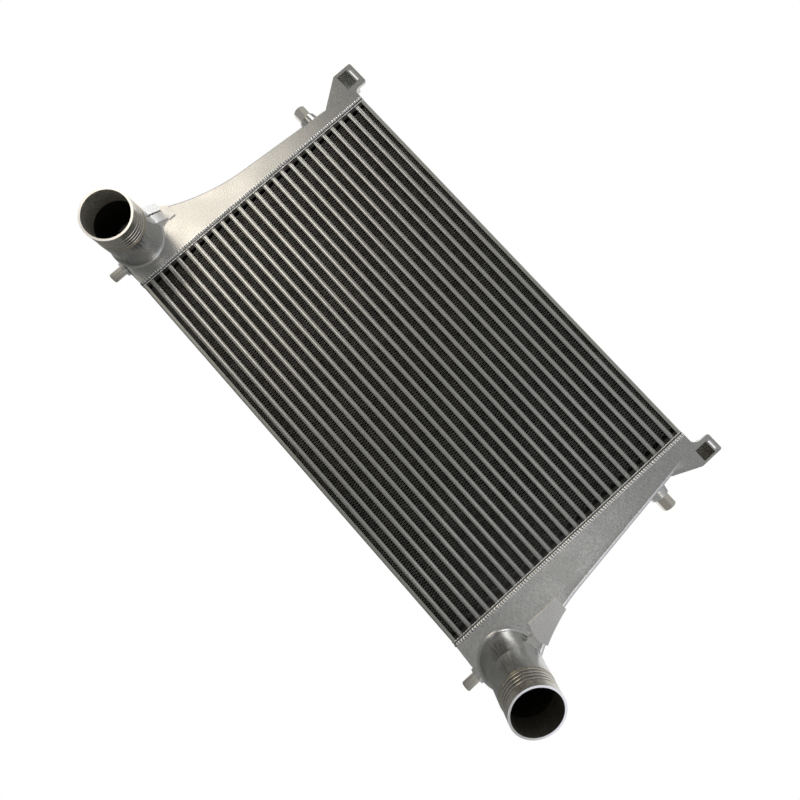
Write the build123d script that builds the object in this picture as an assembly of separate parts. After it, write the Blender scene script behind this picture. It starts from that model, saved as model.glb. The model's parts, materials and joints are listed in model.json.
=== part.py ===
from build123d import *
from math import cos, radians, sin, tan
import os

# A bar and plate charge air cooler with two cast end tanks.
# The frame is upright as fitted: X runs along the core, with the left tank at minus X,
# the hose ports point towards minus Y, and Z is up from the locating pins to the clip ears.
# The origin lies midway between the two locating pins, on the plane that they stand on.
# All sizes are in millimetres.

# Core stack
charge_layers = 25
ambient_gap = 10.07
end_gap = 6.2
bar_height = 4.8
sheet_thickness = 0.5
plate_thickness = 5.5
core_length = 644.0
core_depth = 60.0
core_centre_x = -3.0
core_bottom = 9.0
long_bar_width = 8.0
bar_nose = 1.5
end_bar_width = 8.0
plate_lip = 1.5

# Fins, drawn with coarse folds
fin_thickness = 0.4
fin_end_gap = 4.0
fin_edge_setback = 1.5
ambient_fold_pitch = 120.0
charge_fold_pitch = 640.0
fin_clearance = 0.02

# Tanks
tank_wall = 4.0
joint_overlap = 1.0
shoulder_width = 15.0
bulb_drop = 3.0
boss_root_radius = 17.0
boss_tip_radius = 13.0
boss_sink = 5.0

# Hose ports
port_bore_radius = 32.5
collar_radius = 35.5
stub_radius = 36.5
collar_length = 33.0
relief_width = 22.0
relief_depth = 0.9
flare_height = 12.0
flare_margin = 1.0

# Raised pads above the ports, with ramps down to the stubs
pad_height = 2.5
pad_low = 98.0

# Clip ears
ear_thickness = 5.0
ear_step = 0.8
ear_corner = 3.0
ear_root = 369.0
ear_foot = 7.0
pocket_depth = 25.0
pocket_wall = 2.0
slot_height = 3.5
slot_gap = 2.2
slot_setback = 2.0

# Locating pins and threaded hexagon bosses
pin_radius = 7.0
pin_length = 20.5
pin_chamfer = 1.2
pin_pad_radius = 11.0
pin_overhang = 54.3
hex_across_flats = 18.0
hex_chamfer = 1.5
hex_height = 346.5
thread_radius = 3.4
thread_depth = 14.0

# Weld beads
bead_width = 6.0
bead_height = 1.8
bead_bevel = 1.4

# Worked out from the above
ambient_rows = charge_layers + 1
layer_height = bar_height + 2 * sheet_thickness
pitch = ambient_gap + layer_height
stack_height = charge_layers * layer_height + (charge_layers - 1) * ambient_gap
core_top = core_bottom + stack_height + 2 * (plate_thickness + end_gap)
half_depth = core_depth / 2
front = -half_depth
core_left = core_centre_x - core_length / 2
core_right = core_centre_x + core_length / 2
pin_span = core_length + 2 * pin_overhang
hex_corner_radius = hex_across_flats / 2 / cos(radians(30))


class Tank:
    """Sizes of one end tank, measured outwards from the end of the core and up from the pin plane.

    The outer edge is a straight line, then a hollow arc, then a round bulb, all tangent.
    The hollow arc's centre follows from the bend where it starts and the bulb that it touches.
    """

    def __init__(self, **sizes):
        self.__dict__.update(sizes)
        self.pin_out = self.side * (self.side * pin_span / 2 - self.core_end)
        self.bulb = Vector(self.pin_out + self.bulb_shift, 0, core_bottom - bulb_drop + self.bulb_radius)
        self.port_root = Vector(self.bulb.X + self.port_shift, front, self.port_height)
        self.top = Vector(self.edge_top[0], 0, self.edge_top[1])
        self.bend = Vector(self.edge_bend[0], 0, self.edge_bend[1])
        along = (self.bend - self.top).normalized()
        outward = Vector(-along.Z, 0, along.X)
        apart = self.bend - self.bulb
        spare = 2 * (self.bulb_radius - apart.dot(outward))
        self.hollow = self.bend + outward * ((apart.length**2 - self.bulb_radius**2) / spare)
        self.touch = self.bulb + (self.hollow - self.bulb).normalized() * self.bulb_radius


left = Tank(
    side=-1,
    core_end=core_left,
    edge_top=(23.3, 364.0),
    edge_bend=(34.1, 222.0),
    bulb_radius=41.0,
    bulb_shift=3.5,
    edge_finish=chamfer,
    edge_size=2.4,
    port_shift=0.0,
    port_height=45.5,
    port_reach=87.9,
    tilt_out=0.0,
    tilt_down=0.0,
    boss_length=19.0,
    hex_length=20.0,
    ear_inner=16.0,
    ear_outer=52.5,
    ear_top=441.0,
    ear_low=410.0,
    ear_root_radius=8.0,
    window=(23.5, 48.0, 412.7, 430.3),
    pad=(47.0, 71.0, 109.0),
    ramps=[(49.0, 63.0), (65.5, 79.0)],
    ramp_run=(0.0, 17.5, 32.0),
)
right = Tank(
    side=1,
    core_end=core_right,
    edge_top=(33.7, 364.0),
    edge_bend=(57.2, 176.0),
    bulb_radius=42.0,
    bulb_shift=2.0,
    edge_finish=fillet,
    edge_size=7.0,
    port_shift=6.7,
    port_height=49.3,
    port_reach=91.9,
    tilt_out=18.7,
    tilt_down=4.8,
    boss_length=13.5,
    hex_length=19.0,
    ear_inner=23.5,
    ear_outer=50.0,
    ear_top=443.7,
    ear_low=408.0,
    ear_root_radius=13.0,
    window=(29.0, 47.0, 415.0, 434.0),
    pad=(43.5, 110.0, 147.0),
    ramps=[(57.0, 72.0)],
    ramp_run=(10.5, 32.0, 28.5),
)


def block(x0, x1, y0, y1, z0, z1):
    """A box between two corners."""
    return Pos((x0 + x1) / 2, (y0 + y1) / 2, (z0 + z1) / 2) * Box(x1 - x0, y1 - y0, z1 - z0)


def slab(points, y0, y1):
    """A flat outline in the X Z plane, carried from y0 to y1."""
    outline = make_face(Polyline(*[Vector(x, y0, z) for x, z in points], close=True))
    return extrude(outline, amount=y1 - y0, dir=(0, 1, 0))


def place(tank, shape):
    """Puts a shape drawn outwards from the core end where its tank is."""
    if tank.side < 0:
        shape = mirror(shape, about=Plane.YZ)
    return Pos(tank.core_end, 0, 0) * shape


def arc_about(centre, start, end):
    """The short arc around a centre from one point to another."""
    to_start, to_end = start - centre, end - centre
    middle = centre + (to_start + to_end).normalized() * to_start.length
    return ThreePointArc(start, middle, end)


def tank_outline(tank):
    """Side view of the tank's main form."""
    lowest = tank.bulb - Vector(0, 0, tank.bulb_radius)
    level = Vector(bead_width, 0, core_bottom)
    corner_low, corner_high = Vector(0, 0, core_bottom), Vector(0, 0, core_top)
    shoulder = Vector(shoulder_width, 0, core_top)
    edges = [
        Line(tank.top, tank.bend),
        arc_about(tank.hollow, tank.bend, tank.touch),
        arc_about(tank.bulb, tank.touch, lowest),
        Polyline(lowest, level, corner_low, corner_high, shoulder, tank.top),
    ]
    return make_face(Curve() + edges)


def tank_body(tank):
    """The tank's main form: the upper part has rounded or bevelled outer edges, the bulb is a plain drum."""
    whole = extrude(Pos(0, front, 0) * tank_outline(tank), amount=core_depth, dir=(0, 1, 0))
    reach = tank.bulb.X + 2 * tank.bulb_radius
    drum = whole & block(0, reach, front, half_depth, core_bottom - bulb_drop, tank.touch.Z)
    upper = whole & block(0, reach, front, half_depth, tank.touch.Z, core_top)
    outer = [edge for edge in upper.edges() if on_outer_edge(edge)]
    return tank.edge_finish(outer, tank.edge_size) + drum


def on_outer_edge(edge):
    """True for the straight and the hollow part of the outer edge, at the front and at the rear."""
    start, end = edge.vertices()[0], edge.vertices()[-1]
    level = abs(start.Y - end.Y) < 0.01 and abs(start.Z - end.Z) > shoulder_width
    return level and min(start.X, end.X) > shoulder_width + joint_overlap


def tank_cavity(tank):
    """The space for the charge air, a wall thickness inside the outline and open to the core."""
    inside = half_depth - tank_wall
    outline = offset(tank_outline(tank), amount=-tank_wall, kind=Kind.INTERSECTION)
    space = extrude(Pos(0, -inside, 0) * outline, amount=2 * inside, dir=(0, 1, 0))
    low, high = core_bottom + tank_wall, core_top - tank_wall
    return space + block(-joint_overlap, tank_wall + joint_overlap, -inside, inside, low, high)


def port_mouth(tank):
    """Plane at the mouth of the port, with its normal along the bore towards the hose."""
    out = sin(radians(tank.tilt_out))
    down = sin(radians(tank.tilt_down))
    normal = Vector(out, -((1 - out**2 - down**2) ** 0.5), -down)
    return Plane(origin=tank.port_root + normal * tank.port_reach, x_dir=(0, 0, 1), z_dir=normal)


def port_tube(tank):
    """The hose port as one turned form: cast stub, relief for the hose ridges and plain collar."""
    deep = tank.port_reach + joint_overlap
    land = collar_length - relief_width
    relief_radius = collar_radius - relief_depth
    outline = [
        (0, 0),
        (collar_radius, 0),
        (collar_radius, -land),
        (relief_radius, -land),
        (relief_radius, -collar_length),
        (stub_radius, -collar_length),
        (stub_radius, -deep),
        (0, -deep),
    ]
    profile = make_face(Polyline(*[Vector(r, 0, h) for r, h in outline], close=True))
    return port_mouth(tank).location * revolve(profile, axis=Axis.Z)


def port_flare(tank):
    """The cast flare that spreads the stub onto the tank's face."""
    reach = 2 * flare_height if tank.tilt_out else flare_height
    neck = port_mouth(tank).offset(reach - tank.port_reach)
    foot_centre = (tank.bulb.X, front + joint_overlap, tank.port_height)
    foot = Plane(origin=foot_centre, x_dir=(0, 0, 1), z_dir=(0, -1, 0))
    rings = Sketch() + [foot * Circle(tank.bulb_radius - flare_margin), neck * Circle(stub_radius)]
    return loft(rings)


def port_bore(tank):
    """The clear bore, from the mouth right through the wall, also where it is tilted."""
    slant = port_bore_radius * tan(radians(tank.tilt_out))
    length = tank.port_reach + tank_wall + slant + 2 * joint_overlap
    middle = port_mouth(tank).offset(joint_overlap - length / 2)
    return middle.location * Cylinder(port_bore_radius, length)


def pad_and_ramps(tank):
    """A raised pad beside the outer edge, and the ramps that lead from it down onto the stub."""
    pad_inner, pad_outer, pad_high = tank.pad
    root = front + tank.edge_size
    pad = extrude(Pos(0, root, 0) * tank_outline(tank), amount=pad_height + tank.edge_size, dir=(0, -1, 0))
    pad = pad & block(pad_inner, pad_outer, front - pad_height, root, pad_low, pad_high)
    lean, rise, drop = tank.ramp_run
    for inner, outer in tank.ramps:
        side = [
            (inner, front + joint_overlap, pad_low),
            (inner, front - pad_height, pad_low),
            (inner - lean, front - pad_height - rise, pad_low - drop),
            (inner - lean, front + joint_overlap, pad_low - drop),
        ]
        profile = make_face(Polyline(*[Vector(*point) for point in side], close=True))
        pad += extrude(profile, amount=outer - inner, dir=(1, 0, 0))
    return pad


def ear(tank):
    """The clip ear: a thin plate with a cup behind its window."""
    y0 = front + ear_step
    points = [
        (tank.ear_inner, tank.ear_top),
        (tank.ear_outer, tank.ear_top),
        (tank.ear_outer, tank.ear_low),
        (tank.edge_top[0] - joint_overlap, ear_root),
        (ear_foot, ear_root),
        (ear_foot, core_top - joint_overlap),
        (tank.ear_inner, core_top - joint_overlap),
    ]
    plate = slab(points, y0, y0 + ear_thickness)
    upright = plate.edges().filter_by(Axis.Y)
    root = upright.sort_by_distance(Vector(tank.ear_inner, y0, core_top - joint_overlap))[0]
    plate = fillet(root, tank.ear_root_radius)
    corners = plate.edges().filter_by(Axis.Y).filter_by(lambda edge: edge.center().Z > tank.ear_top - 1)
    plate = fillet(corners, ear_corner)
    x0, x1, z0, z1 = tank.window
    wall = pocket_wall
    return plate + block(x0 - wall, x1 + wall, y0 + joint_overlap, front + pocket_depth, z0 - wall, z1 + wall)


def ear_openings(tank):
    """The pocket behind the window, and the slot above it."""
    x0, x1, z0, z1 = tank.window
    outside = front - joint_overlap
    pocket = block(x0, x1, outside, front + pocket_depth - pocket_wall, z0, z1)
    slot_low = z1 + slot_gap
    through = front + ear_step + ear_thickness + joint_overlap
    slot = block(x0 + slot_setback, x1 - slot_setback, outside, through, slot_low, slot_low + slot_height)
    return pocket + slot


def boss_root(tank):
    """How far out the tank's outer wall is at the height of the hexagon boss."""
    top_out, top_height = tank.edge_top
    bend_out, bend_height = tank.edge_bend
    return top_out + (top_height - hex_height) / (top_height - bend_height) * (bend_out - top_out)


def hex_boss_base(tank):
    """Cast cone that carries the hexagon boss."""
    length = tank.boss_length + boss_sink
    middle = boss_root(tank) - boss_sink + length / 2
    return Pos(middle, 0, hex_height) * Rot(0, 90, 0) * Cone(boss_root_radius, boss_tip_radius, length)


def pin_pad(tank):
    """Flat pad under the tank that the locating pin stands on."""
    height = core_bottom + tank_wall
    return Pos(tank.pin_out, 0, height / 2) * Cylinder(pin_pad_radius, height)


def cast_tank(tank):
    """One hollow casting: body, port, pad, ear, hexagon base and pin pad."""
    solid = tank_body(tank) + port_flare(tank) + port_tube(tank) + pad_and_ramps(tank)
    solid = solid + ear(tank) + hex_boss_base(tank) + pin_pad(tank)
    solid = solid - tank_cavity(tank) - port_bore(tank) - ear_openings(tank)
    return place(tank, solid)


def hex_boss(tank):
    """Bare hexagon boss with a blind threaded hole in its tip."""
    start = boss_root(tank) + tank.boss_length
    tip = start + tank.hex_length
    face = Plane(origin=(start, 0, hex_height), x_dir=(0, 1, 0), z_dir=(1, 0, 0))
    solid = extrude(face * RegularPolygon(hex_corner_radius, 6), amount=tank.hex_length)
    turned = Cylinder(hex_corner_radius, tank.hex_length)
    turned = chamfer(turned.edges().sort_by(Axis.Z)[-1:], hex_chamfer)
    turned = Pos((start + tip) / 2, 0, hex_height) * Rot(0, 90, 0) * turned
    hole = Pos(tip - thread_depth / 2, 0, hex_height) * Rot(0, 90, 0) * Cylinder(thread_radius, thread_depth)
    return place(tank, (solid & turned) - hole)


def locating_pin(tank):
    """Turned pin with a chamfered tip, standing on its pad."""
    pin = Pos(tank.side * pin_span / 2, 0, -pin_length / 2) * Cylinder(pin_radius, pin_length)
    return chamfer(pin.edges().sort_by(Axis.Z)[:1], pin_chamfer)


def weld_bead(tank):
    """Bead around the joint between tank and core."""
    reach = half_depth + bead_height
    low, high = core_bottom - bead_height, core_top + bead_height
    outer = block(-bead_width / 2, bead_width / 2, -reach, reach, low, high)
    rims = outer.edges().filter_by(lambda edge: abs(edge.center().X) > bead_width / 2 - 0.01)
    core = block(-bead_width, bead_width, front, half_depth, core_bottom, core_top)
    return place(tank, chamfer(rims, bead_bevel) - core)


def layer_bottom(i):
    """Height of the lower parting sheet of charge layer i."""
    return core_bottom + plate_thickness + end_gap + i * pitch


def row_span(i):
    """Lower and upper height of ambient row i."""
    low = core_bottom + plate_thickness if i == 0 else layer_bottom(i - 1) + layer_height
    high = core_top - plate_thickness if i == ambient_rows - 1 else layer_bottom(i)
    return low, high


def long_bar(i, side):
    """One long bar of charge layer i, with a bevelled nose on its open side."""
    low = layer_bottom(i) + sheet_thickness
    edge = side * core_depth / 2
    back = edge - side * long_bar_width
    nose = edge - side * bar_nose
    points = [
        (back, low),
        (nose, low),
        (edge, low + bar_nose),
        (edge, low + bar_height - bar_nose),
        (nose, low + bar_height),
        (back, low + bar_height),
    ]
    face = make_face(Polyline(*[Vector(core_left, y, z) for y, z in points], close=True))
    return extrude(face, amount=core_length, dir=(1, 0, 0))


def end_bar(i, x0):
    """Short bar that closes ambient row i at one end of the core."""
    low, high = row_span(i)
    return block(x0, x0 + end_bar_width, -core_depth / 2, core_depth / 2, low, high)


def parting_sheets():
    """Two thin sheets for each charge layer."""
    sheets = []
    for i in range(charge_layers):
        for low in (layer_bottom(i), layer_bottom(i) + sheet_thickness + bar_height):
            sheets.append(
                block(core_left, core_right, -core_depth / 2, core_depth / 2, low, low + sheet_thickness)
            )
    return sheets


def folded_fin(x0, x1, y0, y1, z0, z1, fold_pitch):
    """A folded strip as one solid: a zigzag of even thickness whose crests reach both sheets."""
    count = max(1, round((x1 - x0) / fold_pitch))
    half = (x1 - x0) / count / 2
    rise = z1 - z0 - 2 * fin_clearance
    upright = fin_thickness * (half**2 + rise**2) ** 0.5 / half
    low = z0 + fin_clearance
    high = z1 - fin_clearance - upright
    under = [(x0 + i * half, high if i % 2 else low) for i in range(2 * count + 1)]
    over = [(x, z + upright) for x, z in under]
    face = make_face(Polyline(*[Vector(x, y0, z) for x, z in under + over[::-1]], close=True))
    return extrude(face, amount=y1 - y0, dir=(0, 1, 0))


def ambient_fin(i):
    low, high = row_span(i)
    half = core_depth / 2 - fin_edge_setback
    start = core_left + end_bar_width + fin_end_gap
    end = core_right - end_bar_width - fin_end_gap
    return folded_fin(start, end, -half, half, low, high, ambient_fold_pitch)


def charge_fin(i):
    low = layer_bottom(i) + sheet_thickness
    half = core_depth / 2 - long_bar_width - fin_clearance
    return folded_fin(core_left, core_right, -half, half, low, low + bar_height, charge_fold_pitch)


def side_plate(z0, outer):
    """Outer plate of the core, with a small bevel along its outer edges."""
    plate = block(core_left, core_right, -core_depth / 2, core_depth / 2, z0, z0 + plate_thickness)
    face = plate.faces().sort_by(Axis.Z)[outer]
    return chamfer(face.edges().filter_by(Axis.X), plate_lip)


def save(name, *shapes):
    export_step(Compound(children=list(shapes)) if len(shapes) > 1 else shapes[0], f"parts/{name}.step")


os.makedirs("parts", exist_ok=True)
for name, tank in (("left", left), ("right", right)):
    save(f"{name}_tank", cast_tank(tank))
    save(f"{name}_hex_boss", hex_boss(tank))
    save(f"{name}_locating_pin", locating_pin(tank))
    save(f"{name}_tank_weld", weld_bead(tank))
save("bottom_side_plate", side_plate(core_bottom, 0))
save("top_side_plate", side_plate(core_top - plate_thickness, -1))
save("front_long_bars", *[long_bar(i, -1) for i in range(charge_layers)])
save("rear_long_bars", *[long_bar(i, 1) for i in range(charge_layers)])
save("left_end_bars", *[end_bar(i, core_left) for i in range(ambient_rows)])
save("right_end_bars", *[end_bar(i, core_right - end_bar_width) for i in range(ambient_rows)])
save("parting_sheets", *parting_sheets())
save("charge_air_fins", *[charge_fin(i) for i in range(charge_layers)])
for i in range(ambient_rows):
    save(f"ambient_fin_row_{i + 1:02d}", ambient_fin(i))
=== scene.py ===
# %% [markdown]
# A bar and plate charge air cooler, dressed for a studio picture.
# Hot compressed air enters one cast tank, crosses the finned core and leaves by the other tank.
# The CAD model gives the frame: every piece made here sits in the same coordinates, in metres,
# with X along the core, minus Y towards the hose ports and Z up.

# %% Load the frame
import json
from math import cos, pi, radians, sin

import bmesh
import bpy
import numpy as np
from mathutils import Matrix, Vector


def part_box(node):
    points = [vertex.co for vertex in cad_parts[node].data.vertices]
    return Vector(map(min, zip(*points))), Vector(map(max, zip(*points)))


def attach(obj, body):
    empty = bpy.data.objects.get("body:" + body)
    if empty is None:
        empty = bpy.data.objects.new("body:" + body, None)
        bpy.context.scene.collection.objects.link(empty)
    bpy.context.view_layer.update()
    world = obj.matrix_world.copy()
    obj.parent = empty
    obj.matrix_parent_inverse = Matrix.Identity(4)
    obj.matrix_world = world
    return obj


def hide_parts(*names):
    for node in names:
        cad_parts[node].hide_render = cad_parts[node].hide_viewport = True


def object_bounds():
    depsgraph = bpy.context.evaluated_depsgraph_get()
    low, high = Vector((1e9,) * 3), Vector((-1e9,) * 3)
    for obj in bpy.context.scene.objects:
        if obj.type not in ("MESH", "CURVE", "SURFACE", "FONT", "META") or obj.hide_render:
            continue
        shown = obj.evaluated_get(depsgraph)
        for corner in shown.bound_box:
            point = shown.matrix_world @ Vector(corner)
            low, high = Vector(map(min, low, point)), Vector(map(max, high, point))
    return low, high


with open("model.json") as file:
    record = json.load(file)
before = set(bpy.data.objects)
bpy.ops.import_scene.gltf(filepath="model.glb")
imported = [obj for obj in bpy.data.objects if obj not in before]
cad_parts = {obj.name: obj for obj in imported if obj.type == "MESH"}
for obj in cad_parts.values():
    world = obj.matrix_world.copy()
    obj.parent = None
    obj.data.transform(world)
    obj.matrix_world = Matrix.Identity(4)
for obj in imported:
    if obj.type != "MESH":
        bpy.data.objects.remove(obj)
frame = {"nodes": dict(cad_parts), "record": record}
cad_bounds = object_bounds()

MM = 0.001
print("nodes in the frame:", len(frame["nodes"]))

# %% [markdown]
# The dressed pieces have to meet the CAD ones. Their places could be typed in as numbers,
# but a change in the CAD model would then leave them behind, so they are measured here once.
# A box gives a node's two corners. The ports' axes come from the record's mounts.

# %% Measure the frame
SIDES = ("left", "right")


def box_of(node):
    """Lowest and highest corner of a CAD node as two arrays."""
    low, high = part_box(node)
    return np.array(low), np.array(high)


def mouth_of(side):
    """Centre of a port's mouth and its outward axis, from the collar that the record names there."""
    mounts = {mount["name"]: mount for mount in frame["record"]["mounts"]}
    collar = mounts[f"{side}_hose_collar"]
    axis = np.array(collar["axis"])
    return np.array(collar["pos_m"]) + axis * collar["dims"]["length_mm"] / 2 * MM, axis


core_low = box_of("bottom_side_plate")[0]
core_high = box_of("top_side_plate")[1]
core_left, front, core_bottom = core_low
core_right, rear, core_top = core_high
fin_rows = sorted(name for name in frame["nodes"] if name.startswith("ambient_fin_row"))
print("core from", core_low.round(4), "to", core_high.round(4), "with", len(fin_rows), "fin rows")
for side in SIDES:
    print(side, "port: mouth at", mouth_of(side)[0].round(4), "axis", mouth_of(side)[1].round(3))

# %% [markdown]
# Colours are written as the sRGB hex values that a picture editor shows.
# The shaders work in linear light, so one function turns them.
# Nodes could be put together by hand in the shader editor, but one line of text for each
# shows a whole material at a glance, so a second small function adds a node
# with its settings, its values and its links.

# %% Colour and node helpers
def linear(hex_colour):
    """Linear RGBA of an sRGB hex colour: ((c + 0.055) / 1.055) to the power 2.4, or c / 12.92 when dark."""
    srgb = np.array([int(hex_colour[i:i + 2], 16) for i in (1, 3, 5)]) / 255
    light = np.where(srgb > 0.04045, ((srgb + 0.055) / 1.055) ** 2.4, srgb / 12.92)
    return (*light, 1.0)


def add_node(tree, kind, settings=None, inputs=None):
    """Adds a node with its settings. Each input, by name or number, gets a link or a plain value."""
    node = tree.nodes.new(kind)
    for name, value in (settings or {}).items():
        setattr(node, name, value)
    for key, source in (inputs or {}).items():
        if isinstance(source, bpy.types.NodeSocket):
            tree.links.new(source, node.inputs[key])
        else:
            node.inputs[key].default_value = source
    return node


def new_material(name, colour, metallic, roughness):
    """A material with one Principled shader, its plain values set on the shader's own sockets."""
    material = bpy.data.materials.new(name)
    material.use_nodes = True
    shader = material.node_tree.nodes["Principled BSDF"]
    shader.inputs["Base Color"].default_value = linear(colour)
    shader.inputs["Metallic"].default_value = metallic
    shader.inputs["Roughness"].default_value = roughness
    return material, material.node_tree, shader


def split_by_ray(tree, lit, seen, output):
    """Sends the seen shader to the camera and the lit one to all other rays, such as reflections."""
    path = add_node(tree, "ShaderNodeLightPath")
    ends = {0: path.outputs["Is Camera Ray"], 1: lit.outputs[0], 2: seen.outputs[0]}
    mix = add_node(tree, "ShaderNodeMixShader", inputs=ends)
    tree.links.new(mix.outputs[0], tree.nodes[output].inputs["Surface"])


WHITE = "#FFFFFF"
print("mid grey #808080 in linear light:", round(linear("#808080")[0], 4))

# %% [markdown]
# All the metal here is aluminium, and only the way its surface was made differs.
# Each finish is a grain that lifts the surface a little, and a slow cloud that changes its tone.
# It could be painted on an unwrapped picture, but noise in object coordinates needs no unwrapping
# and keeps its size in millimetres on every piece.
# The real grain of blasted metal is near 0.3 mm, which is too fine to show at this size,
# so the grains below are drawn as coarse as they need to be seen.

# %% Metal with a grain
cloud_size = 40.0 * MM
gloss_change = 0.05
speckle_gain = 2.4


def grained_metal(name, colour, dark, roughness, grain_mm, bump_mm):
    """Tone = cloud noise + gain * (grain noise - 0.5), from colour to dark.

    The grain noise is also the surface's height, and the cloud shifts the gloss.
    """
    material, tree, shader = new_material(name, colour, 1.0, roughness)
    place = add_node(tree, "ShaderNodeTexCoord").outputs["Object"]
    grain, cloud = [
        add_node(tree, "ShaderNodeTexNoise", inputs={"Vector": place, "Scale": 1 / size, "Detail": detail})
        .outputs["Fac"]
        for size, detail in ((grain_mm * MM, 2.0), (cloud_size, 3.0))
    ]
    centred = {0: grain, 1: speckle_gain, 2: -speckle_gain / 2}
    speckle = add_node(tree, "ShaderNodeMath", {"operation": "MULTIPLY_ADD"}, centred)
    both = {0: speckle.outputs[0], 1: cloud}
    shade = add_node(tree, "ShaderNodeMath", {"operation": "ADD", "use_clamp": True}, both)
    # In colour mode the mix node's inputs 6 and 7 are its two colours, and output 2 is the result.
    tones = {0: shade.outputs[0], 6: linear(colour), 7: linear(dark)}
    tint = add_node(tree, "ShaderNodeMix", {"data_type": "RGBA"}, tones)
    tree.links.new(tint.outputs[2], shader.inputs["Base Color"])
    limits = {"Value": cloud, "To Min": roughness - gloss_change, "To Max": roughness + gloss_change}
    gloss = add_node(tree, "ShaderNodeMapRange", inputs=limits)
    tree.links.new(gloss.outputs["Result"], shader.inputs["Roughness"])
    bump = add_node(tree, "ShaderNodeBump", inputs={"Height": grain, "Distance": bump_mm * MM})
    tree.links.new(bump.outputs["Normal"], shader.inputs["Normal"])
    return material


# %% [markdown]
# The tanks are cast in sand and blasted, and a cutter has touched only the places that must fit.
# One plain grey could stand for all of it, but the eye reads a casting by its different finishes,
# so each way of making has a material of its own, with its two tones, roughness, grain and relief.

# %% Finishes of the castings and turned pieces
# Faces of the casting that a cutter trued: the same metal, brighter and with crisper edges.
milled = grained_metal("milled_cast_aluminium", "#FFFFFE", "#E0E0DE", 0.36, 1.8, 0.08)
# The faced rim of each port's mouth, the brightest cut on the part.
faced = grained_metal("faced_aluminium", "#FCFCFA", "#F0F0EC", 0.3, 1.0, 0.0)
# Cast in sand and blasted: grey with a pebble grain that sparkles where it faces the light.
fine_cast = grained_metal("fine_blasted_cast_aluminium", "#D8D8D5", "#C2C2BF", 0.27, 2.0, 0.07)
# The right tank came from a coarser mould, so its pebbles stand out more.
coarse_cast = grained_metal("coarse_blasted_cast_aluminium", "#DADAD7", "#C4C4C1", 0.26, 2.4, 0.115)
# The ports were smoothed by hand after casting, so they show the room more crisply.
smoothed = grained_metal("smoothed_cast_aluminium", "#D2D2D0", "#C4C4C2", 0.25, 3.0, 0.03)
# The inside of the casting is never blasted, so it stays rough, and its dark tone is also painted shade for
# the enclosed cavity and the bottoms of fine grooves.
raw_cast_and_painted_shade = grained_metal("raw_cast_aluminium_and_painted_shade", "#504E47", "#36342F", 0.65, 3.0, 0.2)
# The floor of the deep clip pocket is painted a darker, greyer tone as painted shade.
pocket_floor_painted_shade = grained_metal("pocket_floor_painted_shade_aluminium", "#A6A298", "#918E84", 0.5, 3.0, 0.02)
# Turned on a lathe and left bare: smooth, slightly warm, with crisp reflections.
turned = grained_metal("turned_aluminium", "#DEDAD0", "#CAC6BB", 0.26, 0.8, 0.005)
# The pins are turned finer and handled more, so they are brighter.
pin_metal = grained_metal("fine_turned_pin", "#FBF8EE", "#E8E4D8", 0.2, 0.8, 0.005)
# Bored out with a coarser feed: the same metal, but matt.
bored = grained_metal("bored_aluminium", "#CCC8BC", "#9A968A", 0.75, 2.4, 0.05)
# The tilted bore of the right tank is the same bored metal, painted a dark brown grey as painted shade.
bore_painted_shade = grained_metal("bore_painted_shade_aluminium", "#8A877B", "#6C695F", 0.6, 2.4, 0.05)
print("materials so far:", len(bpy.data.materials))

# %% [markdown]
# The core is stacked from bars, sheets and fins, and brazed in a furnace.
# What lies deep inside is painted dark as painted shade, and the weld that joins core and tank is left
# bright.

# %% Finishes of the core and the welds
# Drawn bars: mid grey and even, with a soft line of light along the nose.
drawn = grained_metal("drawn_bar_aluminium", "#D4D4D2", "#C4C4C2", 0.24, 1.2, 0.02)
# Rolled sheet after brazing: a little duller than the bars.
rolled = grained_metal("brazed_sheet_aluminium", "#CACAC3", "#B8B8B1", 0.36, 1.2, 0.02)
# Short bars deep in the ends of the rows, painted dark as painted shade in the gaps there.
end_bars_painted_shade = grained_metal("end_bar_painted_shade_aluminium", "#4A4A47", "#343431", 0.5, 2.0, 0.05)
# Fin strip after brazing: matt, its walls painted near black as painted shade between the folds, and olive
# grey on its sheared edges.
fin_wall_painted_shade = grained_metal("fin_wall_painted_shade_aluminium", "#0C0C0A", "#060605", 0.55, 6.0, 0.0)
fin_edge = grained_metal("sheared_fin_edge", "#6E6E6A", "#4A4A47", 0.45, 6.0, 0.0)
# Weld metal froze bright and glossy, in ripples. The flat strip beside it and the clefts between its scales
# are painted darker as painted shade.
weld = grained_metal("bright_weld_metal", "#FFFFFD", "#EDEDEA", 0.26, 1.0, 0.04)
weld_painted_shade = grained_metal("weld_edge_painted_shade", "#8A8A87", "#60605D", 0.34, 1.4, 0.06)
print("materials:", [material.name for material in bpy.data.materials])

# %% [markdown]
# The picture was taken from in front of the core, about 0.8 m away, and the camera was rolled,
# so the core runs down across the picture. A camera could be placed by eye, but small errors
# of perspective would show on every bar, so the place, aim and roll below were solved from
# the four corners of the core.

# %% Camera
camera_place = Vector((111.8, -835.4, 122.1)) * MM
camera_aim = Vector((35.35, -30.0, 169.0)) * MM
camera_roll = radians(-48.23)
lens_mm = 27.0
sensor_mm = 36.0


def set_camera():
    """Looks from its place to its aim, with up = upright cos(roll) + side sin(roll)."""
    ahead = (camera_aim - camera_place).normalized()
    side = ahead.cross(Vector((0, 0, 1))).normalized()
    upright = side.cross(ahead)
    up = upright * cos(camera_roll) + side * sin(camera_roll)
    across = ahead.cross(up)
    data = bpy.data.cameras.new("photo_camera")
    data.lens = lens_mm
    data.sensor_width = sensor_mm
    data.clip_start = 10 * MM
    camera = bpy.data.objects.new("photo_camera", data)
    turn = Matrix((across, up, -ahead)).transposed().to_4x4()
    camera.matrix_world = Matrix.Translation(camera_place) @ turn
    bpy.context.scene.collection.objects.link(camera)
    bpy.context.scene.camera = camera


set_camera()
print("camera looks over", round((camera_aim - camera_place).length, 3), "m with a lens of", lens_mm, "mm")

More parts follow.
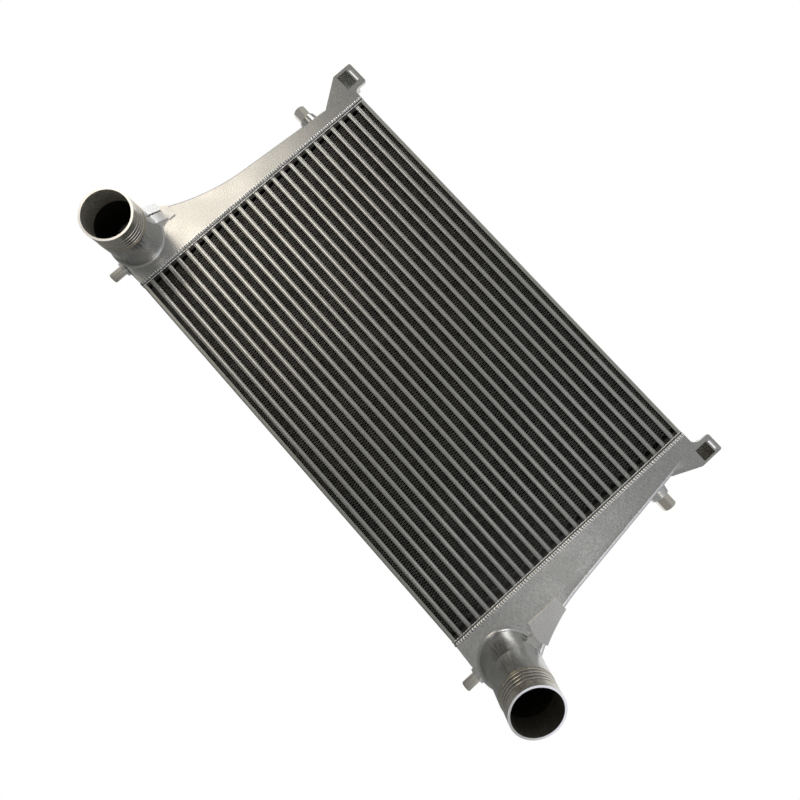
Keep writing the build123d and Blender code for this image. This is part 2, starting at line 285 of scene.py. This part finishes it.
# %% [markdown]
# Bare metal shows little colour of its own: what the eye reads is the room in it.
# The room could be a picture wrapped round the scene or a ring of lamps, but each tone on the metal
# then takes long to find. Here it is built as soft boxes on the sky, each one a smooth patch
# of light around a direction, and they add up as lamps do.

# %% Soft boxes on the sky
world = bpy.data.worlds.new("studio")
bpy.context.scene.world = world
bpy.context.scene.view_settings.view_transform = "Standard"
world.use_nodes = True
sky = world.node_tree
direction = add_node(sky, "ShaderNodeTexCoord").outputs["Generated"]


def plain_light(colour, strength):
    """A background shader of one colour."""
    return add_node(sky, "ShaderNodeBackground", inputs={"Color": linear(colour), "Strength": strength})


def vector_math(operation, *inputs):
    """One step of vector arithmetic on the sky's directions."""
    return add_node(sky, "ShaderNodeVectorMath", {"operation": operation}, dict(enumerate(inputs)))


def soft_box(aim, inner_deg, outer_deg, strength, colour=WHITE, flatten=1.0):
    """Light = strength inside the inner angle from the aim, fading by smoothstep to none at the outer one.

    Height is scaled by flatten before the angle is taken, so a bigger value gives a flatter box.
    """
    stretch = np.array([1.0, 1.0, flatten])
    centre = np.array(aim) * stretch
    centre /= np.linalg.norm(centre)
    ray = vector_math("NORMALIZE", vector_math("MULTIPLY", direction, stretch).outputs["Vector"])
    limits = {
        "Value": vector_math("DOT_PRODUCT", ray.outputs["Vector"], centre).outputs["Value"],
        "From Min": cos(radians(outer_deg)),
        "From Max": cos(radians(inner_deg)),
        "To Min": 0.0,
        "To Max": strength,
    }
    glow = add_node(sky, "ShaderNodeMapRange", {"interpolation_type": "SMOOTHSTEP"}, limits)
    return plain_light(colour, glow.outputs["Result"])


def add_lights(lights):
    """Adds background shaders up, one after another."""
    total = lights[0]
    for light in lights[1:]:
        total = add_node(sky, "ShaderNodeAddShader", inputs={0: total.outputs[0], 1: light.outputs[0]})
    return total


# %% [markdown]
# Each light below was set for one tone that the metal shows, from dim and broad to small and strong.
# The camera itself sees a plain white backdrop, and only the metal sees the boxes.
# One real lamp is added at the left, because its light falls between the fins as well.

# %% Studio light
studio_lights = [
    # The room at eye level is dim, so the far edge of the left tank gets a dark outline.
    plain_light(WHITE, 0.11),
    # A faint patch straight in front fills the faces that look at the camera.
    soft_box((0.0, -1.0, 0.04), 6, 24, 0.14),
    # Ceiling and ground are lighter than eye level, so each bar gets a darker middle line.
    soft_box((0.05, -0.35, 1.0), 30, 66, 0.38),
    soft_box((0.05, -0.35, -1.0), 30, 66, 0.32),
    # A broad box gives the near white left tank.
    soft_box((-0.53, -0.85, -0.03), 9, 26, 1.65, "#FFF5E6", flatten=2.6),
    # A low one at the far left lights the pins along their sides.
    soft_box((-0.98, 0.0, -0.17), 8, 24, 1.4),
    # A small one in front gives the slow change of tone along the right tank.
    soft_box((0.30, -0.95, 0.07), 3, 9.4, 0.86, flatten=1.3),
    # A warm and a cool one light the right tank's rounded edge.
    soft_box((0.73, -0.68, 0.04), 4, 12, 1.5, "#FFF3DF"),
    soft_box((0.93, -0.30, 0.10), 15, 42, 0.85, "#EEF1FF"),
    # The backdrop behind the cooler lights the sides of the ports.
    soft_box((0.0, 1.0, -0.05), 40, 85, 0.88, flatten=1.6),
    # A small strong lamp high up at the left makes weld scales, ramps and edges sparkle.
    soft_box((-0.70, -0.40, 0.59), 5, 12, 4.0),
]
split_by_ray(sky, add_lights(studio_lights), plain_light(WHITE, 1.0), "World Output")


def lamp(name, place, aim, size, power, colour):
    """A square soft lamp that looks from its place to its aim."""
    data = bpy.data.lights.new(name, "AREA")
    data.size = size
    data.energy = power
    data.color = linear(colour)[:3]
    stand = bpy.data.objects.new(name, data)
    turn = (Vector(aim) - Vector(place)).to_track_quat("-Z", "Y").to_matrix().to_4x4()
    stand.matrix_world = Matrix.Translation(place) @ turn
    bpy.context.scene.collection.objects.link(stand)


lamp("key_lamp", place=(-1.3, -1.5, 0.35), aim=(-0.2, 0, 0.2), size=0.7, power=1.0, colour="#FFF8EE")
print("lights on the sky:", len(studio_lights))

# %% [markdown]
# The cooler stands on its two pins on a plain pale floor. In the picture the floor is as white
# as the backdrop. In the metal's reflections it is a soft light grey, as the room is,
# because a floor that glowed on the metal from below would wash its tones out.

# %% Floor
floor_span = 0.6
floor_gap = 0.5 * MM
floor_level = cad_bounds[0][2] - floor_gap
corners = np.array([(-1, -1, 0), (1, -1, 0), (1, 1, 0), (-1, 1, 0)]) * floor_span + (0, 0, floor_level)
floor_mesh = bpy.data.meshes.new("floor")
floor_mesh.from_pydata(corners, [], [(0, 1, 2, 3)])
pale, tree, paint = new_material("pale_floor", "#C9C9C7", 0.0, 0.9)
white = add_node(tree, "ShaderNodeEmission", inputs={"Color": linear(WHITE), "Strength": 1.0})
split_by_ray(tree, paint, white, "Material Output")
floor_mesh.materials.append(pale)
floor = bpy.data.objects.new("floor", floor_mesh)
bpy.context.scene.collection.objects.link(floor)
print("floor at", round(floor_level, 4), "m")

# %% [markdown]
# Most pieces are swept: an outline is carried through a row of stations, as a tool would draw it.
# A curve with a bevel profile could do the same, but here each point's place is known, and
# one array holds all of it, with the axes copies, stations, outline points and coordinates,
# so a whole pile of bars or a folded strip is made without a loop over its points.

# %% Sweep an outline
def swept_mesh(name, grid, ring=False, sharp_deg=30):
    """Joins neighbours of the grid by quads. The outline closes on itself, and ring closes the stations.

    Open ends get a ladder of quads that joins outline point i with the i-th point from the end.
    """
    copies, stations, points, _ = grid.shape
    index = np.arange(copies * stations * points).reshape(copies, stations, points)
    here = index if ring else index[:, :-1]
    there = np.roll(index, -1, axis=1) if ring else index[:, 1:]
    walls = np.stack([here, np.roll(here, -1, axis=2), np.roll(there, -1, axis=2), there], axis=-1)
    quads = [walls.reshape(-1, 4)]
    if not ring:
        rung = np.arange(points // 2 - 1)
        ladder = np.stack([rung, rung + 1, points - 2 - rung, points - 1 - rung], axis=-1)
        quads += [index[:, 0][:, ladder[:, ::-1]].reshape(-1, 4), index[:, -1][:, ladder].reshape(-1, 4)]
    faces = np.concatenate(quads)
    places = grid.reshape(-1, 3)
    corner = places[faces]
    centre = corner.mean(axis=1) - places.mean(axis=0)
    area = np.cross(corner[:, 2] - corner[:, 0], corner[:, 3] - corner[:, 1]) / 2
    if (centre * area).sum() < 0:
        faces = faces[:, ::-1]
    mesh = bpy.data.meshes.new(name)
    mesh.from_pydata(places, [], faces)
    mesh.shade_smooth()
    mesh.set_sharp_from_angle(angle=radians(sharp_deg))
    return mesh


def show(mesh, materials, stands_for=()):
    """Puts a finished mesh in the scene, on the part's one body, for the CAD nodes that it stands for."""
    for material in materials:
        mesh.materials.append(material)
    piece = bpy.data.objects.new(mesh.name, mesh)
    bpy.context.scene.collection.objects.link(piece)
    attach(piece, "root")
    if stands_for:
        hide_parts(*stands_for)
    print(f"{mesh.name}: {len(mesh.polygons)} faces")
    return piece


# %% [markdown]
# The long bars close the charge air layers. They are drawn aluminium with a round nose,
# so each one carries a line of light along its length. Cubes with bevelled edges would come near,
# but a swept outline gives the nose its own squared curve, for all bars of a face at once.
# The bars lie between the fin rows, one parting sheet away from each,
# and their ends sink a little where the weld takes hold.

# %% Long bars
parting_sheet = 0.52 * MM
bar_depth = 8.0 * MM
nose_depth = 1.1 * MM
nose_points = 15
nose_power = 0.6
taper_length = 7.0 * MM
end_sink = 1.4 * MM
end_height = 0.75
row_low, row_high = np.array([box_of(name) for name in fin_rows])[:, :, 2].T
bar_low, bar_high = row_high[:-1] + parting_sheet, row_low[1:] - parting_sheet


def long_bars(name, face, inward):
    """Nose: depth = nose (1 - cos a), height = half (sin a)^0.6, for a from -90 to 90 degrees."""
    turn = np.linspace(-pi / 2, pi / 2, nose_points)
    depth = np.concatenate([[bar_depth], nose_depth * (1 - np.cos(turn)), [bar_depth]])
    rise = np.concatenate([[-1.0], np.sign(turn) * np.abs(np.sin(turn)) ** nose_power, [1.0]])
    middle, half = (bar_low + bar_high) / 2, (bar_high - bar_low) / 2
    stations = np.array([core_left, core_left + taper_length, core_right - taper_length, core_right])
    sink = np.array([end_sink, 0, 0, end_sink])[:, None] * (depth < bar_depth)
    shrink = np.array([end_height, 1, 1, end_height])[:, None]
    grid = np.empty((len(middle), len(stations), len(rise), 3))
    grid[..., 0] = stations[None, :, None]
    grid[..., 1] = (face + inward * (depth + sink))[None]
    grid[..., 2] = middle[:, None, None] + half[:, None, None] * (rise * shrink)[None]
    return swept_mesh(name, grid)


show(long_bars("front_bars", front, 1), [drawn], ["front_long_bars"])
show(long_bars("rear_bars", rear, -1), [drawn], ["rear_long_bars"])

# %% [markdown]
# The ambient fins are thin strips folded to and fro, with a fold every 2.85 mm.
# The CAD rows have coarse folds as stand-ins, and here each row gets its real ones.
# An Array modifier could repeat one fold, but a row is one outline swept from front to rear:
# a triangle wave with flat crests, given a thickness. The folds are drawn 3.8 mm apart and
# the strip at 0.7 mm, over twice its real gauge, because the real ones are too fine to show.
# Real strips also wave from front to rear to stir the air, so nobody can see through them.

# %% Ambient fin rows
fold_pitch = 3.8 * MM
strip_thickness = 0.7 * MM
crest_share = 0.12
side_wave = np.array([0.0, 1.9, -1.9, 0.0]) * MM


def folded_row(name):
    """Flat-topped wave z(x) = middle +- half, shifted both ways along its normal by half a thickness."""
    low, high = box_of(name)
    folds = round((high[0] - low[0]) / fold_pitch)
    pitch = (high[0] - low[0]) / folds
    crest = crest_share * pitch / 2
    within = np.array([0, crest, pitch / 2, pitch / 2 + crest])
    x = (low[0] + pitch * np.arange(folds)[:, None] + within).ravel()
    half = (high[2] - low[2] - strip_thickness) / 2
    z = (low[2] + high[2]) / 2 + half * np.tile([1.0, 1.0, -1.0, -1.0], folds)
    # A leg is steep, so its thickness is set off along x, and a crest's along z.
    lift = strip_thickness / 2
    outward = np.tile([-1.0, 1.0, 1.0, -1.0], folds) * lift
    outline_x = np.concatenate([x + outward, (x - outward)[::-1]])
    outline_z = np.concatenate([z + lift, (z - lift)[::-1]])
    grid = np.empty((1, len(side_wave), len(outline_x), 3))
    grid[..., 0] = outline_x + side_wave[None, :, None]
    grid[..., 1] = np.linspace(low[1], high[1], len(side_wave))[None, :, None]
    grid[..., 2] = outline_z
    mesh = swept_mesh(name.replace("ambient", "folded"), grid)
    # The swept walls come first and get the painted shade, and the ladders at front and rear are the
    # strip's sheared edges.
    walls = (len(side_wave) - 1) * len(outline_x)
    on_edge = (np.arange(len(mesh.polygons)) >= walls).astype(np.int32)
    mesh.polygons.foreach_set("material_index", on_edge)
    return mesh


for name in fin_rows:
    show(folded_row(name), [fin_wall_painted_shade, fin_edge], [name])

# %% [markdown]
# Each tank is welded to the core by hand, all the way round the joint.
# The path could be a drawn curve, but its length has to be known to space the weld's scales,
# so it is worked out as a turtle would walk it: a rectangle with small round corners,
# step by step along its heading.

# %% Path of a weld
path_step = 0.5 * MM
corner_radius = 2.5 * MM


def joint_path():
    """Place and outward direction: the heading stays on the straights and turns evenly in the corners."""
    width, height = rear - front - 2 * corner_radius, core_top - core_bottom - 2 * corner_radius
    runs = [height, corner_radius * pi / 2, width, corner_radius * pi / 2] * 2
    ends = np.concatenate([[0], np.cumsum(runs)])
    count = round(ends[-1] / path_step)
    along = (np.arange(count) + 0.5) * ends[-1] / count
    heading = np.interp(along, ends, np.array([0, 0, 1, 1, 2, 2, 3, 3, 4]) * pi / 2)
    y = front + np.cumsum(np.sin(heading)) * ends[-1] / count
    z = core_bottom + corner_radius + np.cumsum(np.cos(heading)) * ends[-1] / count
    return along, y, z, -np.cos(heading), np.sin(heading)


print("weld path of", len(joint_path()[0]), "steps")

# %% [markdown]
# A weld shows a bright bead of overlapping scales on the tank's side, a flat strip painted darker as
# painted shade, then a thin broken line where the second pass caught the bars.
# A bump texture on the plain bead would be lighter, but the scales catch the light one by one
# and show at the bead's edge, so they are real relief, worked out over the seam's length and width.

# %% Weld seams
scale_pitch = 3.9 * MM
dash_pitch = 4.6 * MM
# Places and heights across the seam in millimetres, from the core's side to the tank's.
across_mm = np.linspace(-3.3, 4.4, 38)
base_mm, bead_mm, line_mm = 0.25, 1.1, 0.8
bead_overlap_mm = 0.25
line_place_mm, line_half_mm = -2.7, 0.6
strip_from_mm, strip_to_mm = -2.1, -0.1
seat_mm = -0.2
width_sway_mm = 0.12
# A scale's front bows forward in the bead's middle, and below the cleft level it gets painted shade.
scale_bend = 1.3
scale_depth = 0.22
cleft_level = 0.63


def sway(along, wave_mm, size_mm):
    """A sine along the seam: size * sin(2 pi along / wave)."""
    return size_mm * np.sin(2 * pi * along / (wave_mm * MM))[:, None]


def weld_seam(name, joint, outward, half_mm, lean):
    """Height = base + bead * scales + line * dashes, where bead and line are round bumps across the seam.

    Scales = 1 - depth + depth sin(phase). Dashes = 0.5 + 2 sin, held between 0.1 and 1, so gaps are short.
    A welder's hand is never even, so the bead's middle, its width and its scales wander by slow sines.
    The lean makes the bead's flank towards the core long and gentle, as a tilted torch leaves it.
    """
    along, y, z, out_y, out_z = joint_path()
    wander = sway(along, 47, 0.8) + sway(along, 19, 0.6)
    middle = half_mm - bead_overlap_mm + sway(along, 31, 0.2)
    half_width = half_mm + width_sway_mm * wander + sway(along, 7.3, width_sway_mm)
    offset = (across_mm - middle) / half_width
    bump = np.clip(1 - offset ** 2, 0, 1)
    line = np.clip(1 - ((across_mm - line_place_mm) / line_half_mm) ** 2, 0, 1)
    phase = 2 * pi * along[:, None] / scale_pitch + wander + scale_bend * bump
    scales = 1 - scale_depth + scale_depth * np.sin(phase)
    dashes = np.clip(0.5 + 2 * np.sin(2 * pi * along[:, None] / dash_pitch + 2 * wander), 0.1, 1)
    bead = bead_mm * np.sqrt(bump) * (1 + lean * offset) * scales
    height = (base_mm + bead + line_mm * np.sqrt(line) * dashes) * MM
    # Two more points close the outline under the seam, a little inside the metal.
    over = np.concatenate([height, np.full((len(along), 2), seat_mm * MM)], axis=1)
    place = np.concatenate([across_mm, across_mm[[-1, 0]]]) * MM
    grid = np.empty((1, *over.shape, 3))
    grid[0, :, :, 0] = joint + outward * place
    grid[0, :, :, 1] = y[:, None] + out_y[:, None] * over
    grid[0, :, :, 2] = z[:, None] + out_z[:, None] * over
    mesh = swept_mesh(name, grid, ring=True, sharp_deg=60)
    # The flat strip and the clefts between scales get painted shade.
    in_strip = (across_mm > strip_from_mm) & (across_mm < strip_to_mm)
    shade_mask = np.zeros(over.shape, np.int32)
    shade_mask[:, :len(across_mm)] = in_strip | ((scales < cleft_level) & (across_mm > 0))
    mesh.polygons.foreach_set("material_index", shade_mask.ravel())
    return mesh


left_seam = weld_seam("left_weld_seam", core_left, -1, half_mm=1.75, lean=0.0)
right_seam = weld_seam("right_weld_seam", core_right, 1, half_mm=2.1, lean=0.8)
show(left_seam, [weld, weld_painted_shade], ["left_tank_weld"])
show(right_seam, [weld, weld_painted_shade], ["right_tank_weld"])

# %% [markdown]
# Behind the plain end of the collar a hose sits on four turned rings with fine grooves between.
# The CAD collar has one plain relief there, and these rings fill it.
# A lathe makes them, so one ring's outline is turned round the port's axis, as a Screw modifier
# would do it. The array needs no helper object at the tilted axis, so it was chosen.

# %% Hose ridges
plain_land = 11.0 * MM
ring_count = 4
ring_pitch = 5.5 * MM
ring_width = 3.8 * MM
ring_depth = 1.0 * MM
ring_bevel = 0.5 * MM
ring_steps = 120
collar_radius = 35.5 * MM


def hose_ridges(name, side):
    """Radius = the collar's on a ring's crest, less the bevel at its edges and the depth at its feet."""
    mouth, axis = mouth_of(side)
    first = np.cross(axis, (1.0, 0.0, 0.0))
    first /= np.linalg.norm(first)
    second = np.cross(axis, first)
    back = np.array([0, 0, ring_bevel, ring_width - ring_bevel, ring_width, ring_width])
    drop = np.array([ring_depth, ring_bevel, 0, 0, ring_bevel, ring_depth])
    turn = np.linspace(0, 2 * pi, ring_steps, endpoint=False)
    round_about = np.cos(turn)[:, None] * first + np.sin(turn)[:, None] * second
    start = plain_land + ring_pitch - ring_width + ring_pitch * np.arange(ring_count)[:, None]
    depth = (start + back)[:, None, :, None]
    radius = (collar_radius - drop)[None, None, :, None]
    grid = mouth - axis * depth + round_about[None, :, None, :] * radius
    return swept_mesh(name, grid, ring=True, sharp_deg=40)


for side in SIDES:
    show(hose_ridges(f"{side}_hose_ridges", side), [turned])

# %% [markdown]
# A casting has no sharp inner corner: the mould rounds the foot of each port into the tank's face.
# In the light this hollow round shows as a thin bright crescent with a dark line outside it.
# A Bevel modifier could round the edge, but it would break up where the casting's triangles crowd.
# So the flare is made anew as one ring: its curve leaves the face flat, turns up and runs to the stub.

# %% Flare with a rounded foot
foot_round = {"left": 4.0 * MM, "right": 4.5 * MM}
foot_radius = {"left": 36.8 * MM, "right": 37.0 * MM}
foot_shift = {"left": 0.0, "right": -6.7 * MM}
flare_length = {"left": 12.0 * MM, "right": 24.0 * MM}
flare_steps = 144
foot_steps = 12
stub_radius = 36.5 * MM
cover = 0.12 * MM
neck_wall = 1.5 * MM
foot_wall = 2.0 * MM
buried = np.array([0, 0.5, 0]) * MM


def foot_centre(side):
    """Where the flare stands on the tank's face: the port axis cut by the face, shifted along the core."""
    mouth, axis = mouth_of(side)
    reach = (mouth[1] - front) / axis[1]
    return mouth - axis * reach + (foot_shift[side], 0, 0), reach


def unit(rows):
    """Each row divided by its length."""
    return rows / np.linalg.norm(rows, axis=-1, keepdims=True)


def port_flare(name, side):
    """Curve = (1-s)^2 A + 2s(1-s) B + s^2 C, then a line to the neck.

    A lies on the face, B in the corner and C on the flare. The last points run back inside the metal.
    """
    mouth, axis = mouth_of(side)
    centre, reach = foot_centre(side)
    neck = mouth - axis * (reach - flare_length[side])
    level, upright = unit(np.eye(3) - axis[:, None] * axis)[[0, 2]]
    turn = np.linspace(0, 2 * pi, flare_steps, endpoint=False)[:, None]
    spoke = np.cos(turn) * (1, 0, 0) + np.sin(turn) * (0, 0, 1)
    ring = np.cos(turn) * level + np.sin(turn) * upright
    corner = centre + spoke * foot_radius[side]
    top = neck + ring * (stub_radius + cover)
    on_face = corner + spoke * foot_round[side]
    on_flare = corner + unit(top - corner) * foot_round[side]
    s = np.linspace(0, 1, foot_steps)[None, :, None]
    curve = (1 - s) ** 2 * on_face[:, None] + 2 * s * (1 - s) * corner[:, None] + s ** 2 * on_flare[:, None]
    inside = [top - ring * neck_wall, corner - spoke * foot_wall + buried, on_face + buried]
    rest = [(on_flare + top) / 2, top, *inside]
    outline = np.concatenate([curve] + [row[:, None] for row in rest], axis=1)
    return swept_mesh(name, outline[None], ring=True, sharp_deg=40)


for side in SIDES:
    show(port_flare(f"{side}_port_flare", side), [smoothed])

# %% [markdown]
# The castings and turned pieces keep their CAD shape, and copies of them get the finishes.
# On a tank, the collar and the mouth are turned, and the first stretch of the bore is bored out.
# The bore beyond it is raw casting, so the copy is cut there, as a tool's last step would mark it.
# A face could be picked by hand, but a change of the CAD model would lose the choice,
# so each face is told by its place around the port's axis.

# %% Cut a port and place its faces
machined_length = 33.0 * MM


def cut_at_collar(shape, side):
    """Cuts the mesh across the port where the machining ends."""
    mouth, axis = mouth_of(side)
    geometry = shape.verts[:] + shape.edges[:] + shape.faces[:]
    bmesh.ops.bisect_plane(shape, geom=geometry, plane_co=mouth - axis * machined_length, plane_no=axis)


def port_frame(face, side):
    """A face's depth behind the mouth, its distance from the axis, and the cosines of its two turns.

    The first turn is away from a spoke that leaves the axis, the second away from the axis itself.
    """
    mouth, axis = mouth_of(side)
    reach = np.array(face.calc_center_median()) - mouth
    depth = -reach.dot(axis)
    spoke = reach + axis * depth
    radius = np.linalg.norm(spoke)
    return depth, radius, face.normal.dot(Vector(spoke / radius)), face.normal.dot(Vector(axis))


# %% [markdown]
# The new flare has to cover the plain one of the copy. The old one could be cut out,
# but that would leave a hole round the bore, so it is only drawn in by a few millimetres.

# %% Draw the old flare in
slack = 0.1 * MM
on_plane = 0.05 * MM
flare_cosine = 0.78
flare_from, flare_to = 36.3 * MM, 49.0 * MM
stub_edge = 36.6 * MM
hidden_radius = 35.8 * MM
foot_inset = 1.2 * MM
most_inset = 4.5 * MM


def slim_flare(shape, side):
    """Moves the flare's points towards its centre, on the tank's face to just inside the new foot.

    Elsewhere a point moves by as much as it stands out from the stub, up to the most inset.
    """
    mouth, axis = mouth_of(side)
    centre, _ = foot_centre(side)
    flare = set()
    for face in shape.faces:
        depth, radius, outward, _ = port_frame(face, side)
        on_port = face.calc_center_median().y < front + slack and depth > machined_length
        if on_port and outward > flare_cosine and flare_from < radius < flare_to:
            flare.update(face.verts)
    for vertex in flare:
        place = np.array(vertex.co)
        from_axis = np.linalg.norm(np.cross(place - mouth, axis))
        spoke = (place - centre) * (1, 0, 1)
        wide = np.linalg.norm(spoke)
        if from_axis > stub_edge:
            on_face = abs(place[1] - front) < on_plane
            inset = min(most_inset, from_axis - hidden_radius)
            narrow = foot_radius[side] - foot_inset if on_face else wide - inset
            vertex.co = place - spoke * (1 - narrow / wide)


# %% [markdown]
# One look tells where a cutter has touched a casting, and the light on its edges tells how thick
# its skin is. So each face of a tank gets the finish of its place, and the raised pads get
# a bigger round than other edges. The relief under the hose ridges gets the dark raw casting finish
# as painted shade, for the shade in the bottoms of fine grooves.

# %% Finish of each face
BLASTED, TURNED, BORED, RAW_AND_SHADE, FACED, MILLED, SMOOTHED, POCKET_SHADE = range(8)
square_on = 0.9
rim_depth = 0.3 * MM
bore_limit, cavity_limit = 32.6 * MM, 33.0 * MM
relief_limit, stub_limit = 35.0 * MM, 37.0 * MM
pad_height, pad_low, pad_high = 1.0 * MM, 60.0 * MM, 150.0 * MM
pocket_low, pocket_depth = 400.0 * MM, 10.0 * MM
pad_round = 2.2 * MM
sharp_angle = radians(28)


def finish_of(face, side):
    """The finish's number, from the face's depth behind the mouth, distance from the axis and turn."""
    depth, radius, outward, along = port_frame(face, side)
    _, y, z = face.calc_center_median()
    if depth < machined_length + slack:
        if along > square_on:
            return FACED if depth < rim_depth else TURNED
        if radius < bore_limit:
            return BORED
        # Past the plain land, the relief under the hose ridges gets painted shade.
        return RAW_AND_SHADE if depth > plain_land and radius < relief_limit else TURNED
    # The bore beyond the machining and the inner cavity get the raw casting's dark tone, which is also
    # painted shade.
    if radius < cavity_limit and outward < 0:
        return RAW_AND_SHADE
    if radius < stub_limit and outward > square_on:
        return SMOOTHED
    if y < front - pad_height and pad_low < z < pad_high and outward < flare_cosine:
        return MILLED
    # The floor of the deep clip pocket gets painted shade.
    in_pocket = side == "right" and z > pocket_low and y > front + pocket_depth
    return POCKET_SHADE if in_pocket and face.normal.y < -square_on else BLASTED


def round_pads(shape):
    """Rounds the edges of the raised pads by a bigger radius, so they catch the light as bright lines."""
    rims = []
    for edge in shape.edges:
        on_pad = any(face.material_index == MILLED for face in edge.link_faces)
        if on_pad and edge.calc_face_angle(0) > sharp_angle:
            rims.append(edge)
    round_off = {"offset": pad_round, "segments": 3, "affect": "EDGES", "clamp_overlap": True}
    bmesh.ops.bevel(shape, geom=rims, material=FACED, **round_off)


# %% [markdown]
# A copy of each remaining CAD piece is merged into whole faces and shaded smooth up to a sharp angle,
# and most get a small round on their edges, because no real edge is knife sharp. They could be modelled
# again by hand, but the copy keeps every size of the CAD model.

# %% Dress the CAD pieces
merge_distance = 0.02 * MM
flat_angle = radians(0.5)


def dress(node, materials, bevel_mm=0, port_side=None):
    """A merged copy of a CAD node with its finishes, smooth shading and, when a bevel width is given, small
    rounds on its edges.
    """
    mesh = frame["nodes"][node].data.copy()
    mesh.name = "dressed_" + node
    mesh.materials.clear()
    shape = bmesh.new()
    shape.from_mesh(mesh)
    bmesh.ops.remove_doubles(shape, verts=shape.verts, dist=merge_distance)
    bmesh.ops.dissolve_limit(shape, angle_limit=flat_angle, verts=shape.verts, edges=shape.edges)
    if port_side:
        cut_at_collar(shape, port_side)
        slim_flare(shape, port_side)
        shape.normal_update()
        for face in shape.faces:
            face.material_index = finish_of(face, port_side)
        round_pads(shape)
    shape.to_mesh(mesh)
    shape.free()
    if "custom_normal" in mesh.attributes:
        mesh.attributes.remove(mesh.attributes["custom_normal"])
    mesh.shade_smooth()
    mesh.set_sharp_from_angle(angle=sharp_angle)
    piece = show(mesh, materials, [node])
    if bevel_mm:
        bevel = piece.modifiers.new("soft_edges", "BEVEL")
        bevel.width = bevel_mm * MM
        bevel.segments = 2
        bevel.limit_method = "ANGLE"
        bevel.angle_limit = sharp_angle
        bevel.harden_normals = True


# The right tank's bore gets painted shade.
for side, cast, bore in (("left", fine_cast, bored), ("right", coarse_cast, bore_painted_shade)):
    finishes = [cast, turned, bore, raw_cast_and_painted_shade, faced, milled, smoothed, pocket_floor_painted_shade]
    dress(f"{side}_tank", finishes, bevel_mm=0.5, port_side=side)
    dress(f"{side}_hex_boss", [turned], bevel_mm=0.3)
    dress(f"{side}_locating_pin", [pin_metal], bevel_mm=0.3)
    # The end bars get painted shade.
    dress(f"{side}_end_bars", [end_bars_painted_shade])
for place in ("top", "bottom"):
    dress(f"{place}_side_plate", [rolled], bevel_mm=0.4)
dress("parting_sheets", [rolled])
# The inner charge air fins are painted near black as painted shade.
dress("charge_air_fins", [fin_wall_painted_shade])
